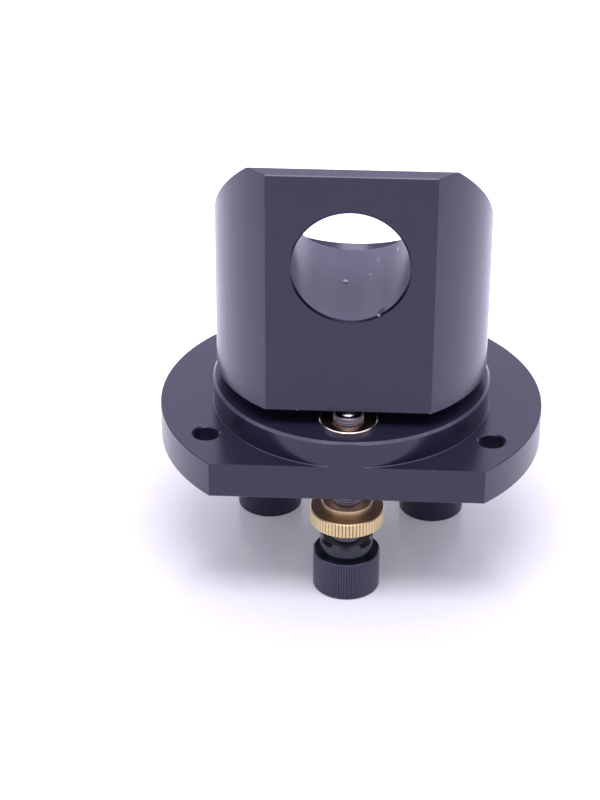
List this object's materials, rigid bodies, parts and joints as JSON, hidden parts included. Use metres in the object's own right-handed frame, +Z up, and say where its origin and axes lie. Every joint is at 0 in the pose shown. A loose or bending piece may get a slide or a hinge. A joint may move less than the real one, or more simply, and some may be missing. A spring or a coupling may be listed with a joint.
{
  "type": "kinematic mirror mount",
  "caption": "Flanged kinematic mount that holds a round mirror at 45 degrees over a horizontal aperture and tilts it with fine screws locked by knurled nuts.",
  "frame": {"origin": "centre of the flange's upper face, on the axis of the head", "axes": "+Z up along the head's axis, -Y out of the aperture at the front, +X to the right seen from the front"},
  "size_m": [0.0634, 0.0545, 0.0748],
  "materials": {
    "anodised_aluminium": "black anodised, fine satin",
    "knob_aluminium": "black anodised, straight knurl",
    "bronze": "turned bronze",
    "brass": "turned brass, straight knurl",
    "screw_steel": "ground stainless steel",
    "tip_steel": "polished hardened steel",
    "seat_steel": "ground hardened steel",
    "spring_steel": "bright spring wire"
  },
  "bodies": {
    "base": {"base": "anodised_aluminium", "front_bushing": "bronze", "left_bushing": "bronze", "right_bushing": "bronze", "rear_spring_pin": "seat_steel", "left_spring_pin": "seat_steel", "right_spring_pin": "seat_steel"},
    "front_tip": {"front_tip": "tip_steel"},
    "front_knob": {"front_screw": "screw_steel", "front_knob": "knob_aluminium"},
    "front_lock_nut": {"front_lock_nut": "brass"},
    "left_tip": {"left_tip": "tip_steel"},
    "left_knob": {"left_screw": "screw_steel", "left_knob": "knob_aluminium"},
    "left_lock_nut": {"left_lock_nut": "brass"},
    "right_tip": {"right_tip": "tip_steel"},
    "right_knob": {"right_screw": "screw_steel", "right_knob": "knob_aluminium"},
    "right_lock_nut": {"right_lock_nut": "brass"},
    "rear_spring": {"rear_spring": "spring_steel"},
    "left_spring": {"left_spring": "spring_steel"},
    "head": {"head": "anodised_aluminium", "flat_seat": "seat_steel", "cone_seat": "seat_steel", "vee_seat": "seat_steel", "rear_spring_post": "seat_steel", "left_spring_post": "seat_steel", "right_spring_post": "seat_steel", "right_spring": "spring_steel"}
  },
  "joints": [
    {"name": "front_travel", "type": "slide", "parent": "base", "child": "front_tip", "axis": [0, 0, 1], "range_m": [-0.001, 0.001]},
    {"name": "front_turn", "type": "hinge", "parent": "front_tip", "child": "front_knob", "pos_m": [0, -0.01625, -0.02], "axis": [0, 0, 1], "range_deg": [-721, 721]},
    {"name": "front_lock_nut_turn", "type": "hinge", "parent": "front_knob", "child": "front_lock_nut", "pos_m": [0, -0.01625, -0.012], "axis": [0, 0, 1], "range_deg": [-720, 720]},
    {"name": "left_travel", "type": "slide", "parent": "base", "child": "left_tip", "axis": [0, 0, 1], "range_m": [-0.001, 0.001]},
    {"name": "left_turn", "type": "hinge", "parent": "left_tip", "child": "left_knob", "pos_m": [-0.01407, 0.00813, -0.02], "axis": [0, 0, 1], "range_deg": [-721, 721]},
    {"name": "left_lock_nut_turn", "type": "hinge", "parent": "left_knob", "child": "left_lock_nut", "pos_m": [-0.01407, 0.00813, -0.012], "axis": [0, 0, 1], "range_deg": [-720, 720]},
    {"name": "right_travel", "type": "slide", "parent": "base", "child": "right_tip", "axis": [0, 0, 1], "range_m": [-0.001, 0.001]},
    {"name": "right_turn", "type": "hinge", "parent": "right_tip", "child": "right_knob", "pos_m": [0.01407, 0.00813, -0.02], "axis": [0, 0, 1], "range_deg": [-721, 721]},
    {"name": "right_lock_nut_turn", "type": "hinge", "parent": "right_knob", "child": "right_lock_nut", "pos_m": [0.01407, 0.00813, -0.012], "axis": [0, 0, 1], "range_deg": [-720, 720]},
    {"name": "head_tilt_front", "type": "hinge", "parent": "base", "child": "rear_spring", "pos_m": [0, 0.00813, 0.0041], "axis": [-1, 0, 0], "range_deg": [-2.4, 2.4], "deforming": ["rear_spring", "left_spring", "right_spring"]},
    {"name": "head_tilt_left", "type": "hinge", "parent": "rear_spring", "child": "left_spring", "pos_m": [0.00704, -0.00406, 0.0041], "axis": [0.5, 0.866, 0], "range_deg": [-2.4, 2.4]},
    {"name": "head_tilt_right", "type": "hinge", "parent": "left_spring", "child": "head", "pos_m": [-0.00704, -0.00406, 0.0041], "axis": [0.5, -0.866, 0], "range_deg": [-2.4, 2.4]}
  ],
  "couplings": [
    {"joint": "front_turn", "follows": "front_travel", "rad_per_m": 12566},
    {"joint": "left_turn", "follows": "left_travel", "rad_per_m": 12566},
    {"joint": "right_turn", "follows": "right_travel", "rad_per_m": 12566},
    {"joint": "head_tilt_front", "follows": "front_travel", "rad_per_m": 41.026},
    {"joint": "head_tilt_left", "follows": "left_travel", "rad_per_m": 41.026},
    {"joint": "head_tilt_right", "follows": "right_travel", "rad_per_m": 41.026}
  ]
}
